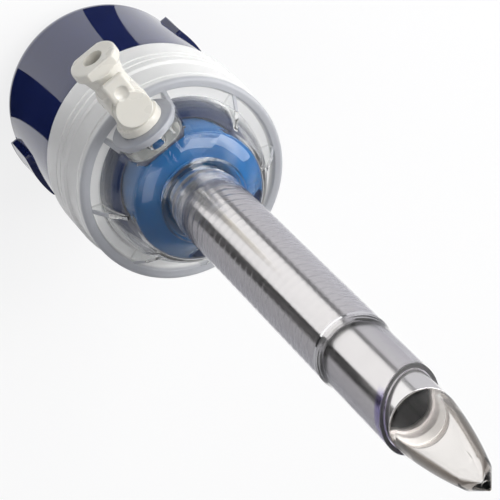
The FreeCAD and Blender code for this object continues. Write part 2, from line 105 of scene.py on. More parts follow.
class TrocarSizes(bpy.types.PropertyGroup):
    """Sizes that a user may change."""

    turn_steps: bpy.props.IntProperty(
        name="Turning steps", description="Facets round each turned piece", default=128, min=24, max=256)
    rib_pitch: bpy.props.FloatProperty(
        name="Rib pitch", description="Distance from rib to rib on the cannula", default=2.65 * MM,
        unit="LENGTH", precision=5)
    rib_height: bpy.props.FloatProperty(
        name="Rib height", description="How far the ribbed length stands out of the cannula",
        default=0.4 * MM, unit="LENGTH", precision=5)
    groove_depth: bpy.props.FloatProperty(
        name="Groove depth", description="Depth of the grooves between the ribs",
        default=0.03 * MM, unit="LENGTH", precision=5)
    fin_thickness: bpy.props.FloatProperty(
        name="Fin thickness", description="Thickness of the fins on the dome", default=1.0 * MM,
        unit="LENGTH", precision=5)
    tip_flank: bpy.props.FloatProperty(
        name="Tip flank radius", description="Radius of the hollows in the tip's two flanks",
        default=24.0 * MM, unit="LENGTH", precision=5)


class TrocarColours(bpy.types.PropertyGroup):
    """Colours that a user may change."""

    navy: bpy.props.FloatVectorProperty(
        name="Navy", description="Moulded handle colour", subtype="COLOR", size=3,
        default=(0.013, 0.021, 0.095), min=0, max=1)
    clear: bpy.props.FloatVectorProperty(
        name="Clear", description="Tint of the clear mouldings", subtype="COLOR", size=3,
        default=(0.95, 0.96, 0.955), min=0, max=1)
    silicone: bpy.props.FloatVectorProperty(
        name="Silicone", description="Blue of the duckbill valve", subtype="COLOR", size=3,
        default=(0.001, 0.095, 0.28), min=0, max=1)
    milk: bpy.props.FloatVectorProperty(
        name="Milk white", description="White of the stopcock", subtype="COLOR", size=3,
        default=(0.68, 0.66, 0.60), min=0, max=1)
    steel: bpy.props.FloatVectorProperty(
        name="Steel", description="Polished shaft", subtype="COLOR", size=3,
        default=(0.95, 0.93, 0.92), min=0, max=1)


def sizes():
    return bpy.context.scene.trocar_sizes


def colours():
    return bpy.context.scene.trocar_colours


# Modelling helpers


def deselect():
    if bpy.context.object and bpy.context.object.mode != "OBJECT":
        bpy.ops.object.mode_set(mode="OBJECT")
    bpy.ops.object.select_all(action="DESELECT")


def pick(piece):
    deselect()
    piece.select_set(True)
    bpy.context.view_layer.objects.active = piece


def rounded(outline, bend_steps=5):
    """Closed outline of (radius, height, corner radius) with its corners turned into arcs."""
    points = [Vector((p[0], p[1])) for p in outline]
    result = []
    for i, here in enumerate(points):
        radius = outline[i][2] if len(outline[i]) > 2 else 0
        before = points[i - 1] - here
        after = points[(i + 1) % len(points)] - here
        if radius <= 0 or before.length < 1e-6 or after.length < 1e-6:
            result.append(tuple(here))
            continue
        half = before.angle(after) / 2
        if half > math.pi / 2 - 0.03:
            result.append(tuple(here))
            continue
        back = min(radius / math.tan(half), 0.49 * before.length, 0.49 * after.length)
        radius = back * math.tan(half)
        middle = (before.normalized() + after.normalized()).normalized()
        centre = here + middle * (radius / math.sin(half))
        start = here + before.normalized() * back - centre
        end = here + after.normalized() * back - centre
        sweep = start.angle_signed(end)
        for k in range(bend_steps + 1):
            spun = start.copy()
            spun.rotate(Matrix.Rotation(-sweep * k / bend_steps, 2))
            result.append(tuple(centre + spun))
    return result


def bow(start, through, end, count=12):
    """Points on the arc from start to end by way of a third point, both ends left out."""
    a, b, c = Vector(start), Vector(through), Vector(end)
    d = 2 * (a.x * (b.y - c.y) + b.x * (c.y - a.y) + c.x * (a.y - b.y))
    sq = [p.length_squared for p in (a, b, c)]
    ux = (sq[0] * (b.y - c.y) + sq[1] * (c.y - a.y) + sq[2] * (a.y - b.y)) / d
    uy = (sq[0] * (c.x - b.x) + sq[1] * (a.x - c.x) + sq[2] * (b.x - a.x)) / d
    centre = Vector((ux, uy))
    first = math.atan2(a.y - uy, a.x - ux)
    middle = math.atan2(b.y - uy, b.x - ux)
    last = math.atan2(c.y - uy, c.x - ux)
    to_last = (last - first) % math.tau
    if (middle - first) % math.tau > to_last:
        to_last -= math.tau
    radius = (a - centre).length
    return [(ux + radius * math.cos(first + to_last * k / count),
             uy + radius * math.sin(first + to_last * k / count)) for k in range(1, count)]


def arch(start, end, rise, count=12):
    """Points between two ends of an arc whose rise, to the right, is a share of its chord."""
    across, along = end[0] - start[0], end[1] - start[1]
    middle = ((start[0] + end[0]) / 2 + rise * along, (start[1] + end[1]) / 2 - rise * across)
    return bow(start, middle, end, count)


def lathe(name, outline, steps=None, smooth=30):
    """Turn a closed outline of (radius, height) round the long axis."""
    corners = rounded(outline)
    deselect()
    bpy.ops.mesh.primitive_circle_add(vertices=len(corners), fill_type="NOTHING")
    piece = bpy.context.object
    piece.name = name
    for vertex, (r, z) in zip(piece.data.vertices, corners):
        vertex.co = (max(r, 0) * MM, 0, z * MM)
    bpy.ops.object.mode_set(mode="EDIT")
    bpy.ops.mesh.select_all(action="SELECT")
    bpy.ops.mesh.spin(steps=steps or sizes().turn_steps, angle=math.tau, center=(0, 0, 0), axis=(0, 0, 1))
    bpy.ops.mesh.select_all(action="SELECT")
    bpy.ops.mesh.remove_doubles(threshold=1e-7)
    bpy.ops.mesh.normals_make_consistent(inside=False)
    bpy.ops.object.mode_set(mode="OBJECT")
    bpy.ops.object.shade_smooth_by_angle(angle=math.radians(smooth))
    return piece


def placed(piece, matrix):
    piece.data.transform(matrix)
    piece.data.update()
    return piece


def along_branch(piece, z):
    """Lay a piece turned round Z along -Y at a height, its own height becoming the reach."""
    return placed(piece, Matrix.Translation((0, 0, z * MM)) @ Matrix.Rotation(math.radians(90), 4, "X"))


def block(name, low, high, edge=0.0, segments=3):
    """Box between two corners in millimetres, with rounded edges where edge is given."""
    deselect()
    centre = [(a + b) / 2 * MM for a, b in zip(low, high)]
    bpy.ops.mesh.primitive_cube_add(size=1, location=centre)
    piece = bpy.context.object
    piece.name = name
    piece.scale = [(b - a) * MM for a, b in zip(low, high)]
    bpy.ops.object.transform_apply(location=True, rotation=True, scale=True)
    if edge:
        bpy.ops.object.mode_set(mode="EDIT")
        bpy.ops.mesh.select_all(action="SELECT")
        bpy.ops.mesh.bevel(offset=edge * MM, segments=segments, affect="EDGES")
        bpy.ops.object.mode_set(mode="OBJECT")
    return piece


def cylinder(name, r, low, high, axis="Z", steps=64):
    """Cylinder in millimetres from one end point to the other along an axis."""
    deselect()
    centre = [(a + b) / 2 * MM for a, b in zip(low, high)]
    depth = sum(abs(b - a) for a, b in zip(low, high)) * MM
    turn = {"X": (0, math.pi / 2, 0), "Y": (math.pi / 2, 0, 0), "Z": (0, 0, 0)}[axis]
    bpy.ops.mesh.primitive_cylinder_add(
        vertices=steps, radius=r * MM, depth=depth, location=centre, rotation=turn)
    piece = bpy.context.object
    piece.name = name
    bpy.ops.object.transform_apply(location=True, rotation=True, scale=True)
    return piece


def combine(piece, other, operation):
    """Boolean of two closed pieces; the second is used up."""
    pick(piece)
    bpy.ops.object.modifier_add(type="BOOLEAN")
    modifier = piece.modifiers[-1]
    modifier.operation = operation
    modifier.solver = "EXACT"
    modifier.object = other
    bpy.ops.object.modifier_apply(modifier=modifier.name)
    bpy.data.objects.remove(other, do_unlink=True)
    return piece


def copies(piece, count, first=0.0):
    """The piece and its copies round the long axis, joined as one object."""
    made = []
    for i in range(1, count):
        pick(piece)
        bpy.ops.object.duplicate()
        twin = bpy.context.object
        placed(twin, Matrix.Rotation(math.tau * i / count + first, 4, "Z"))
        made.append(twin)
    placed(piece, Matrix.Rotation(first, 4, "Z"))
    for twin in made:
        twin.select_set(True)
    piece.select_set(True)
    bpy.context.view_layer.objects.active = piece
    bpy.ops.object.join()
    return piece


def soften_edges(piece, width, segments=3, limit=40, smooth=35):
    """Small rounded edge wherever two faces meet sharply."""
    pick(piece)
    bpy.ops.object.modifier_add(type="BEVEL")
    modifier = piece.modifiers[-1]
    modifier.width = width * MM
    modifier.segments = segments
    modifier.limit_method = "ANGLE"
    modifier.angle_limit = math.radians(limit)
    modifier.use_clamp_overlap = True
    modifier.harden_normals = False
    bpy.ops.object.modifier_apply(modifier=modifier.name)
    bpy.ops.object.shade_smooth_by_angle(angle=math.radians(smooth))
    return piece


def melt(piece, voxel, passes):
    """Fuse overlapping forms into one skin with the soft inner corners of a moulding."""
    pick(piece)
    bpy.ops.object.modifier_add(type="REMESH")
    modifier = piece.modifiers[-1]
    modifier.mode = "VOXEL"
    modifier.voxel_size = voxel * MM
    bpy.ops.object.modifier_apply(modifier=modifier.name)
    bpy.ops.object.modifier_add(type="SMOOTH")
    modifier = piece.modifiers[-1]
    modifier.factor = 0.5
    modifier.iterations = passes
    bpy.ops.object.modifier_apply(modifier=modifier.name)
    bpy.ops.object.shade_smooth()
    return piece


def even_normals(piece):
    """Let the large faces set the shading, so that rounded edges don't bend it on flat walls."""
    pick(piece)
    bpy.ops.object.modifier_add(type="WEIGHTED_NORMAL")
    modifier = piece.modifiers[-1]
    modifier.mode = "FACE_AREA"
    modifier.weight = 100
    modifier.keep_sharp = True
    bpy.ops.object.modifier_apply(modifier=modifier.name)


def settle(piece, material, slot, body, *nodes):
    """Give a finished piece its material and its body, and hide what it stands for; the slot is not used."""
    even_normals(piece)
    piece.data.materials.clear()
    piece.data.materials.append(material)
    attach(piece, body)
    if nodes:
        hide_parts(*nodes)
    return piece


def let_light_in(piece):
    """Clear plastic holds no light back from what lies inside it."""
    piece.visible_shadow = False


# Shared surface effects


def shared_group(name, inputs, outputs, build):
    """A node group, built on its first use from its inputs with their defaults and its outputs."""
    group = bpy.data.node_groups.get(name)
    if group:
        return group
    group = bpy.data.node_groups.new(name, "ShaderNodeTree")
    for label, default in inputs:
        kind = "NodeSocketFloat" if isinstance(default, float) else "NodeSocketColor"
        group.interface.new_socket(name=label, in_out="INPUT", socket_type=kind).default_value = default
    for label in outputs:
        kind = "NodeSocketColor" if label == "Color" else "NodeSocketFloat"
        group.interface.new_socket(name=label, in_out="OUTPUT", socket_type=kind)
    entry, leave = group.nodes.new("NodeGroupInput"), group.nodes.new("NodeGroupOutput")
    build(group, entry.outputs, leave.inputs)
    return group


def object_noise(group, detail, scale, stretch=None):
    """Noise over the piece's own place, its scale a number or a socket."""
    nodes, links = group.nodes, group.links
    place = nodes.new("ShaderNodeTexCoord").outputs["Object"]
    if stretch:
        mapping = nodes.new("ShaderNodeMapping")
        mapping.inputs["Scale"].default_value = stretch
        links.new(place, mapping.inputs["Vector"])
        place = mapping.outputs["Vector"]
    noise = nodes.new("ShaderNodeTexNoise")
    noise.inputs["Detail"].default_value = detail
    links.new(place, noise.inputs["Vector"])
    if isinstance(scale, float):
        noise.inputs["Scale"].default_value = scale
    else:
        links.new(scale, noise.inputs["Scale"])
    return noise.outputs["Fac"]


def contrast(group, noise, margin, low=None, high=None):
    """Stretch the middle of a noise from one value to another, or from 0 to 1."""
    spread = group.nodes.new("ShaderNodeMapRange")
    spread.inputs["From Min"].default_value = margin
    spread.inputs["From Max"].default_value = 1 - margin
    group.links.new(noise, spread.inputs["Value"])
    if low is not None:
        group.links.new(low, spread.inputs["To Min"])
        group.links.new(high, spread.inputs["To Max"])
    return spread.outputs["Result"]


def moulded_surface():
    """Uneven gloss and faint waviness of an injection moulding."""
    def build(group, given, out):
        broad = object_noise(group, 5, given["Scale"])
        gloss = contrast(group, broad, 0.35, given["Gloss Low"], given["Gloss High"])
        group.links.new(gloss, out["Roughness"])
        blend = group.nodes.new("ShaderNodeMath")
        blend.operation = "MULTIPLY_ADD"
        blend.inputs[1].default_value = 0.25
        group.links.new(object_noise(group, 2, 900.0), blend.inputs[0])
        group.links.new(broad, blend.inputs[2])
        group.links.new(blend.outputs["Value"], out["Height"])

    inputs = (("Scale", 120.0), ("Gloss Low", 0.08), ("Gloss High", 0.2))
    return shared_group("Moulded surface", inputs, ("Roughness", "Height"), build)


def colour_drift():
    """Slow drift between two tones of one colour."""
    def build(group, given, out):
        mix = group.nodes.new("ShaderNodeMix")
        mix.data_type = "RGBA"
        group.links.new(contrast(group, object_noise(group, 4, given["Scale"]), 0.3), mix.inputs["Factor"])
        group.links.new(given["Tone A"], mix.inputs[6])
        group.links.new(given["Tone B"], mix.inputs[7])
        group.links.new(mix.outputs[2], out["Color"])

    inputs = (("Tone A", (0.8, 0.8, 0.8, 1)), ("Tone B", (0.7, 0.7, 0.7, 1)), ("Scale", 60.0))
    return shared_group("Colour drift", inputs, ("Color",), build)


def drawn_marks():
    """Fine marks that run along the long axis, as on a drawn and polished tube."""
    def build(group, given, out):
        marks = object_noise(group, 3, 1.0, (900, 900, 18))
        group.links.new(contrast(group, marks, 0.3, given["Low"], given["High"]), out["Roughness"])
        group.links.new(marks, out["Height"])

    return shared_group("Drawn marks", (("Low", 0.1), ("High", 0.2)), ("Roughness", "Height"), build)


def place_in_millimetres():
    """Where a point of the piece lies: its X, its height and its distance from the long axis."""
    def build(group, given, out):
        nodes, links = group.nodes, group.links
        place = nodes.new("ShaderNodeTexCoord")
        scale, flat, length = (nodes.new("ShaderNodeVectorMath") for _ in range(3))
        scale.operation, flat.operation, length.operation = "SCALE", "MULTIPLY", "LENGTH"
        scale.inputs["Scale"].default_value = 1 / MM
        flat.inputs[1].default_value = (1, 1, 0)
        parts = nodes.new("ShaderNodeSeparateXYZ")
        links.new(place.outputs["Object"], scale.inputs[0])
        for user in (parts, flat):
            links.new(scale.outputs["Vector"], user.inputs[0])
        links.new(flat.outputs["Vector"], length.inputs[0])
        links.new(parts.outputs["X"], out["X"])
        links.new(parts.outputs["Z"], out["Height"])
        links.new(length.outputs["Value"], out["Radius"])

    return shared_group("Place in millimetres", (), ("X", "Height", "Radius"), build)


# Materials


def effect(material, group, **values):
    """Place a shared effect in a material with its own values, an underscore for each space."""
    node = material.node_tree.nodes.new("ShaderNodeGroup")
    node.node_tree = group
    for name, value in values.items():
        node.inputs[name.replace("_", " ")].default_value = value
    return node.outputs


def bump_from(material, shader, height, strength, distance):
    bump = material.node_tree.nodes.new("ShaderNodeBump")
    bump.inputs["Strength"].default_value = strength
    bump.inputs["Distance"].default_value = distance
    material.node_tree.links.new(height, bump.inputs["Height"])
    material.node_tree.links.new(bump.outputs["Normal"], shader.inputs["Normal"])


def place_of(material):
    """X, height and radius in millimetres, for masks in a material."""
    place = effect(material, place_in_millimetres())
    return place["X"], place["Height"], place["Radius"]


def ramp(material, source, start, end, first=0.0, last=1.0, kind="SMOOTHSTEP"):
    """Smooth change from the first value to the last while the source goes from start to end."""
    node = material.node_tree.nodes.new("ShaderNodeMapRange")
    node.interpolation_type = kind
    for name, value in (("From Min", start), ("From Max", end), ("To Min", first), ("To Max", last)):
        node.inputs[name].default_value = value
    material.node_tree.links.new(source, node.inputs["Value"])
    return node.outputs["Result"]


def math_of(material, operation, a, b):
    node = material.node_tree.nodes.new("ShaderNodeMath")
    node.operation = operation
    for number, value in enumerate((a, b)):
        if isinstance(value, (int, float)):
            node.inputs[number].default_value = value
        else:
            material.node_tree.links.new(value, node.inputs[number])
    return node.outputs["Value"]


def blend_in(material, shader, name, mask, value):
    """Lay a second colour or value over what feeds a socket, where the mask is one."""
    nodes, links = material.node_tree.nodes, material.node_tree.links
    mix = nodes.new("ShaderNodeMix")
    colour = not isinstance(value, (int, float))
    mix.data_type = "RGBA" if colour else "FLOAT"
    first, second = (6, 7) if colour else (2, 3)
    links.new(mask, mix.inputs[0])
    links.new(shader.inputs[name].links[0].from_socket, mix.inputs[first])
    mix.inputs[second].default_value = tone(value) if colour else value
    links.new(mix.outputs[2 if colour else 0], shader.inputs[name])


def tone(colour, factor=1.0):
    return tuple(min(c * factor, 1.0) for c in colour) + (1.0,)


def new_material(name):
    material = bpy.data.materials.new(name)
    material.use_nodes = True
    return material, material.node_tree.links, material.node_tree.nodes["Principled BSDF"]


def moulded(name, colour, drift=0.85, drift_scale=70.0, low=0.1, high=0.22, waviness=0.02,
            surface_scale=110.0):
    """Moulded plastic or rubber: drifting tone, uneven gloss and a faint wave."""
    material, links, shader = new_material(name)
    tones = effect(material, colour_drift(),
                   Tone_A=tone(colour), Tone_B=tone(colour, drift), Scale=drift_scale)
    links.new(tones["Color"], shader.inputs["Base Color"])
    surface = effect(material, moulded_surface(), Scale=surface_scale, Gloss_Low=low, Gloss_High=high)
    links.new(surface["Roughness"], shader.inputs["Roughness"])
    bump_from(material, shader, surface["Height"], waviness, 0.4 * MM)
    return material, shader


def navy_plastic():
    material, shader = moulded("Navy moulding", colours().navy, 0.8, low=0.05, high=0.12, waviness=0.015)
    shader.inputs["IOR"].default_value = 1.43
    shader.inputs["Coat Weight"].default_value = 0.15
    shader.inputs["Coat Roughness"].default_value = 0.05
    return material


def clear_plastic(name, tint, edge, steepness=4.0, low=0.01, high=0.05, ior=1.5, waviness=0.02):
    """Clear moulding with painted shade where it is seen edge on: the edge colour is blended in towards
    grazing view.
    """
    material, shader = moulded(name, tint, 0.985, 40.0, low, high, waviness, 160.0)
    facing = material.node_tree.nodes.new("ShaderNodeLayerWeight")
    facing.inputs["Blend"].default_value = 0.5
    # Painted shade: the edge colour darkens the surface where it is seen edge on, in place of the dark edges
    # that refraction gives.
    painted_edge_shade = math_of(material, "POWER", facing.outputs["Facing"], steepness)
    blend_in(material, shader, "Base Color", painted_edge_shade, edge)
    shader.inputs["Transmission Weight"].default_value = 1.0
    shader.inputs["IOR"].default_value = ior
    return material, shader


def clear_housing():
    # Colour of the painted shade where the clear housing is seen edge on.
    edge = (0.45, 0.46, 0.50)
    return clear_plastic("Clear housing plastic", colours().clear, edge, 4.0, 0.01, 0.04, 1.45)[0]


def frosted_housing():
    """Milky satin of the housing's side wall, with painted shade that makes the thin rim that looks forward
    greyer.
    """
    material, shader = moulded("Frosted housing plastic", (0.80, 0.80, 0.79), 0.97, 60.0, 0.3, 0.42, 0.04)
    _, height, _ = place_of(material)
    # Painted shade: the forward rim is blended to grey by height.
    rim = ramp(material, height, HOUSING_FRONT - 1.4, HOUSING_FRONT - 0.4)
    blend_in(material, shader, "Base Color", rim, (0.42, 0.43, 0.46))
    shader.inputs["Transmission Weight"].default_value = 0.3
    shader.inputs["IOR"].default_value = 1.45
    return material


def clear_tube():
    """Clear sleeve with painted violet shade along one side of its cut end, and painted shade where it is
    seen edge on.
    """
    # edge is the violet grey of the painted shade where the sleeve is seen edge on.
    tint, edge = (0.99, 0.985, 0.985), (0.40, 0.36, 0.52)
    material, shader = clear_plastic("Clear tube plastic", tint, edge, 4.0, 0.04, 0.1)
    x, height, _ = place_of(material)
    slope = math.tan(math.radians(BEVEL_ANGLE))
    cut = TUBE_TOP - slope * TUBE_SKIN
    behind = math_of(material, "SUBTRACT", height, math_of(material, "MULTIPLY", x, slope))
    # Painted shade: a violet tone laid on one side of the sleeve near its cut end.
    mask = math_of(material, "MULTIPLY", ramp(material, behind, cut - 2.8, cut - 2.3),
                   ramp(material, x, 1.0, 3.5))
    blend_in(material, shader, "Base Color", mask, (0.55, 0.50, 0.80))
    sawn = ramp(material, behind, cut - 0.45, cut - 0.25)
    blend_in(material, shader, "Base Color", sawn, (0.86, 0.83, 0.86))
    blend_in(material, shader, "Roughness", sawn, 0.55)
    return material


def clear_tip():
    """Clear nose with painted dark shade along its two thick ridges, and painted shade where it is seen edge
    on.
    """
    # edge is the colour of the painted shade where the nose is seen edge on.
    tint, edge = (0.99, 0.975, 0.96), (0.5, 0.45, 0.4)
    material, shader = clear_plastic("Clear tip plastic", tint, edge, 4.0, 0.0, 0.03, 1.25)
    x, height, _ = place_of(material)
    side = ramp(material, height, TIP_SHOULDER, TIP_POINT, SHAFT_R, SHAFT_R / 2, "LINEAR")
    point = ramp(material, height, TIP_POINT, TIP_TOP, 0.0, -SHAFT_R / 2, "LINEAR")
    inwards = math_of(material, "SUBTRACT", math_of(material, "ADD", side, point),
                      math_of(material, "ABSOLUTE", x, 0.0))
    # Painted shade: near-black brown blended in along the two ridges, where the clear nose looks dark.
    blend_in(material, shader, "Base Color", ramp(material, inwards, 0.7, 0.3), (0.12, 0.10, 0.085))
    return material


def blue_silicone():
    material, shader = moulded("Blue silicone", colours().silicone, 0.75, 90.0, 0.16, 0.3, 0.05)
    shader.inputs["Subsurface Weight"].default_value = 0.4
    shader.inputs["Subsurface Radius"].default_value = (0.2, 0.6, 1.0)
    shader.inputs["Subsurface Scale"].default_value = 0.002
    return material


def milk_plastic():
    material, shader = moulded("Milk white moulding", colours().milk, 0.95, 90.0, 0.22, 0.36, 0.06)
    shader.inputs["Subsurface Weight"].default_value = 0.35
    shader.inputs["Subsurface Radius"].default_value = (1.0, 0.9, 0.8)
    shader.inputs["Subsurface Scale"].default_value = 0.0012
    return material


def drawn_metal(name, bright, dull, drift_scale, low, high):
    """Bare metal with marks along the long axis, and the height of those marks."""
    material, links, shader = new_material(name)
    tones = effect(material, colour_drift(), Tone_A=bright, Tone_B=dull, Scale=drift_scale)
    links.new(tones["Color"], shader.inputs["Base Color"])
    marks = effect(material, drawn_marks(), Low=low, High=high)
    links.new(marks["Roughness"], shader.inputs["Roughness"])
    shader.inputs["Metallic"].default_value = 1.0
    return material, shader, marks["Height"]


def polished_steel():
    """Polished tube whose bore is ground rough for its last few millimetres."""
    bright, dull = tone(colours().steel), tone(colours().steel, 0.93)
    material, shader, marks = drawn_metal("Polished steel", bright, dull, 35.0, 0.12, 0.24)
    bump_from(material, shader, marks, 0.03, 0.2 * MM)
    _, height, radius = place_of(material)
    ground = math_of(material, "MULTIPLY", ramp(material, height, SHAFT_TOP - 8, SHAFT_TOP - 6),
                     ramp(material, radius, SCOPE_R + 0.7, SCOPE_R + 0.55))
    blend_in(material, shader, "Roughness", ground, 0.7)
    return material


def spring_steel():
    return drawn_metal("Spring steel", (0.45, 0.45, 0.46, 1), (0.36, 0.36, 0.37, 1), 60.0, 0.25, 0.4)[0]


# Operators


class TROCAR_OT_handle(bpy.types.Operator):
    """Navy handle cap with its side windows, and the two release buttons"""
    bl_idname = "trocar.handle"
    bl_label = "Handle"

    def execute(self, context):
        navy = navy_plastic()
        settle(handle_cap(), navy, "navy_plastic", "obturator", "handle_cap")
        for side, body in (("right", "button_right"), ("left", "button_left")):
            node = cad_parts["release_button_" + side]
            node.data.materials.clear()
            node.data.materials.append(navy)
        return {"FINISHED"}


def handle_cap():
    """Cap with a widely rounded back edge, a slight draft and the scope channel's mouth."""
    round_r, wall, draft = 7.0, 1.7, 0.8
    mouth_r = SCOPE_R + 1.8
    back_r = CAP_R - round_r
    inner_r = CAP_R - wall
    outline = [(SCOPE_R, 0, 0), (mouth_r + 1.2, 0, 0.25), (mouth_r + 1.4, 0.6, 0.2),
               (back_r - 2.8, 0.6, 0.2), (back_r - 2.6, 0, 0.25), (back_r, 0)]
    diagonal = 0.7071
    draft_r = CAP_R - draft
    halfway = (back_r + (round_r - draft) * diagonal, round_r * (1 - diagonal))
    outline += bow((back_r, 0), halfway, (draft_r, round_r), 24)
    outline += [(draft_r, round_r), (CAP_R, CAP_TOP - 4, 20.0), (CAP_R, CAP_TOP, 0.6),
                (inner_r, CAP_TOP, 0.3), (inner_r, round_r)]
    inner_round = round_r - wall
    halfway = (back_r + inner_round * diagonal, round_r - inner_round * diagonal)
    outline += bow((inner_r, round_r), halfway, (back_r, wall), 12)
    outline += [(back_r, wall), (mouth_r, wall), (mouth_r, 8.0), (SCOPE_R, 8.0), (SCOPE_R, 6.0),
                (SCOPE_R + 1.0, 6.0), (SCOPE_R + 1.0, 3.0), (SCOPE_R, 3.0)]
    cap = lathe("handle_cap_skin", outline, smooth=25)
    foot = reach("release_button_right", 2, False) - 0.3
    for side in (1, -1):
        low_x, high_x = sorted((side * (inner_r - 3), side * (CAP_R + 3)))
        window = block("window", (low_x, -6.0, foot), (high_x, 6.0, 18.3))
        pick(window)
        bpy.ops.object.mode_set(mode="EDIT")
        bpy.ops.mesh.select_all(action="DESELECT")
        bpy.ops.object.mode_set(mode="OBJECT")
        for edge in window.data.edges:
            a, b = (window.data.vertices[i].co for i in edge.vertices)
            edge.select = abs(a.x - b.x) > 1e-4
        bpy.ops.object.mode_set(mode="EDIT")
        bpy.ops.mesh.bevel(offset=2.5 * MM, segments=8, affect="EDGES")
        bpy.ops.object.mode_set(mode="OBJECT")
        combine(cap, window, "DIFFERENCE")
    bpy.context.view_layer.objects.active = cap
    bpy.ops.object.shade_smooth_by_angle(angle=math.radians(25))
    return cap


class TROCAR_OT_obturator(bpy.types.Operator):
    """Polished scope channel and the clear hollow tip"""
    bl_idname = "trocar.obturator"
    bl_label = "Obturator"

    def execute(self, context):
        settle(obturator_shaft(), polished_steel(), "polished_steel", "obturator", "obturator_shaft")
        tip = settle(obturator_tip(), clear_tip(), "clear_plastic", "obturator", "obturator_tip")
        let_light_in(tip)
        frosted = moulded("Frosted tip foot", (0.93, 0.92, 0.90), 0.97, low=0.35, high=0.5)[0]
        settle(tip_spigot(), frosted, "clear_plastic", "obturator", "obturator_tip")
        return {"FINISHED"}


def obturator_shaft():
    seat_r = SCOPE_R + 0.47
    seat_z = TIP_FOOT - 0.05
    return lathe("shaft_tube", [
        (SCOPE_R, SHAFT_FOOT), (SHAFT_R, SHAFT_FOOT, 0.2), (SHAFT_R, SHAFT_TOP, 0.08),
        (seat_r, SHAFT_TOP, 0.05), (seat_r, seat_z), (SCOPE_R, seat_z)], smooth=30)


def obturator_tip():
    """Hollow nose with two hollowed flanks that leave an edge between them."""
    base = SHAFT_TOP
    apex_low = (SHAFT_R * 0.5, TIP_POINT)
    outline = [(0, TIP_FOOT + 5.0), (SPIGOT_R, TIP_FOOT + 5.0), (SPIGOT_R, base),
               (SHAFT_R, base, 0.15), (SHAFT_R, TIP_SHOULDER)]
    outline += bow((SHAFT_R, TIP_SHOULDER), (SHAFT_R - 0.95, base + 9.2), apex_low, 28)
    outline += [apex_low, (0.35, TIP_TOP - 0.5, 0.4), (0, TIP_TOP)]
    nose = lathe("tip_nose", outline, steps=160, smooth=40)
    flank_r = sizes().tip_flank / MM
    for side in (1, -1):
        y = side * (flank_r + 2.3)
        flank = cylinder("flank", flank_r, (-20, y, TIP_TOP - 1), (20, y, TIP_TOP - 1), "X", 720)
        combine(nose, flank, "DIFFERENCE")
    inner = SCOPE_R - 0.2
    hollow_low = (inner * 0.42, TIP_TOP - 6.2)
    outline = [(0, TIP_FOOT + 3.0), (SCOPE_R, TIP_FOOT + 3.0), (SCOPE_R, base), (inner, base + 1.2, 0.5)]
    outline += bow((inner, base + 1.2), (inner - 0.85, base + 9.2), hollow_low, 24)
    outline += [hollow_low, (0.25, TIP_TOP - 3.0, 0.3), (0, TIP_TOP - 2.8)]
    hollow = lathe("hollow", outline, steps=160)
    combine(nose, hollow, "DIFFERENCE")
    bpy.ops.object.shade_smooth_by_angle(angle=math.radians(22))
    return nose


def tip_spigot():
    """Frosted foot of the tip, seated in the mouth of the scope channel."""
    foot, top = SHAFT_TOP - 3.4, SHAFT_TOP - 1.05
    return lathe("tip_foot_ring", [(SCOPE_R, foot, 0.05), (SPIGOT_R, foot, 0.1), (SPIGOT_R, top, 0.1),
                                   (SCOPE_R, top, 0.05)], smooth=30)


class TROCAR_OT_cannula(bpy.types.Operator):
    """Clear ribbed tube with its bevelled end"""
    bl_idname = "trocar.cannula"
    bl_label = "Cannula tube"

    def execute(self, context):
        settle(cannula_tube(), clear_tube(), "clear_plastic", "cannula", "cannula_tube")
        return {"FINISHED"}


def cannula_tube():
    """Sleeve ribbed along most of its length, cut off at a slant."""
    bore, skin = TUBE_BORE, TUBE_SKIN
    pitch = sizes().rib_pitch / MM
    height = sizes().rib_height / MM
    depth = sizes().groove_depth / MM
    flange = skin + 1.3
    first = HOUSING_TOP + 1.5
    count = 27
    outline = [(bore, TUBE_FOOT, 0.2), (flange, TUBE_FOOT, 0.1), (flange, TUBE_FOOT + 1.0, 0.1),
               (skin, TUBE_FOOT + 1.0, 0.1)]
    crest = skin + height
    outline += [(skin, first, 0.3), (crest, first + 0.5, 0.3)]
    for i in range(1, count):
        middle = first + i * pitch
        outline += [(crest - 0.01, middle - 0.8), (crest, middle - 0.7), (crest - 0.01, middle - 0.4),
                    (crest - depth * 0.55, middle - 0.16), (crest - depth, middle),
                    (crest - depth * 0.55, middle + 0.16), (crest - 0.01, middle + 0.4),
                    (crest, middle + 0.7)]
    end = first + count * pitch
    outline += [(crest, end - 2.6), (crest - height * 0.04, end - 2.1), (crest - height * 0.25, end - 1.3),
                (skin + height * 0.25, end - 0.2), (skin + height * 0.04, end + 0.6), (skin, end + 1.1)]
    over = TUBE_TOP + 4
    smooth_start = end + 2.0
    outline += [(skin, smooth_start + (over - smooth_start) * k / 24) for k in range(25)]
    outline.append((bore, over))
    tube = lathe("cannula_sleeve", outline, smooth=50)
    slope = math.tan(math.radians(BEVEL_ANGLE))
    middle = TUBE_TOP - slope * skin
    knife = block("knife", (-30, -30, 0), (30, 30, 30))
    placed(knife, Matrix.Translation((0, 0, middle * MM)) @ Matrix.Rotation(-math.atan(slope), 4, "Y"))
    combine(tube, knife, "DIFFERENCE")
    soften_edges(tube, 0.12, 2, 50, 45)
    return tube


class TROCAR_OT_valve_housing(bpy.types.Operator):
    """Clear bowl with its stepped side, dome, fins and stopcock socket"""
    bl_idname = "trocar.valve_housing"
    bl_label = "Valve housing"

    def execute(self, context):
        body = settle(valve_housing(), clear_housing(), "clear_plastic", "cannula", "valve_housing")
        body.data.materials.append(frosted_housing())
        for face in body.data.polygons:
            if math.hypot(face.center.x, face.center.y) > (DOME_FOOT_R + 0.3) * MM:
                face.material_index = 1
        let_light_in(body)
        return {"FINISHED"}


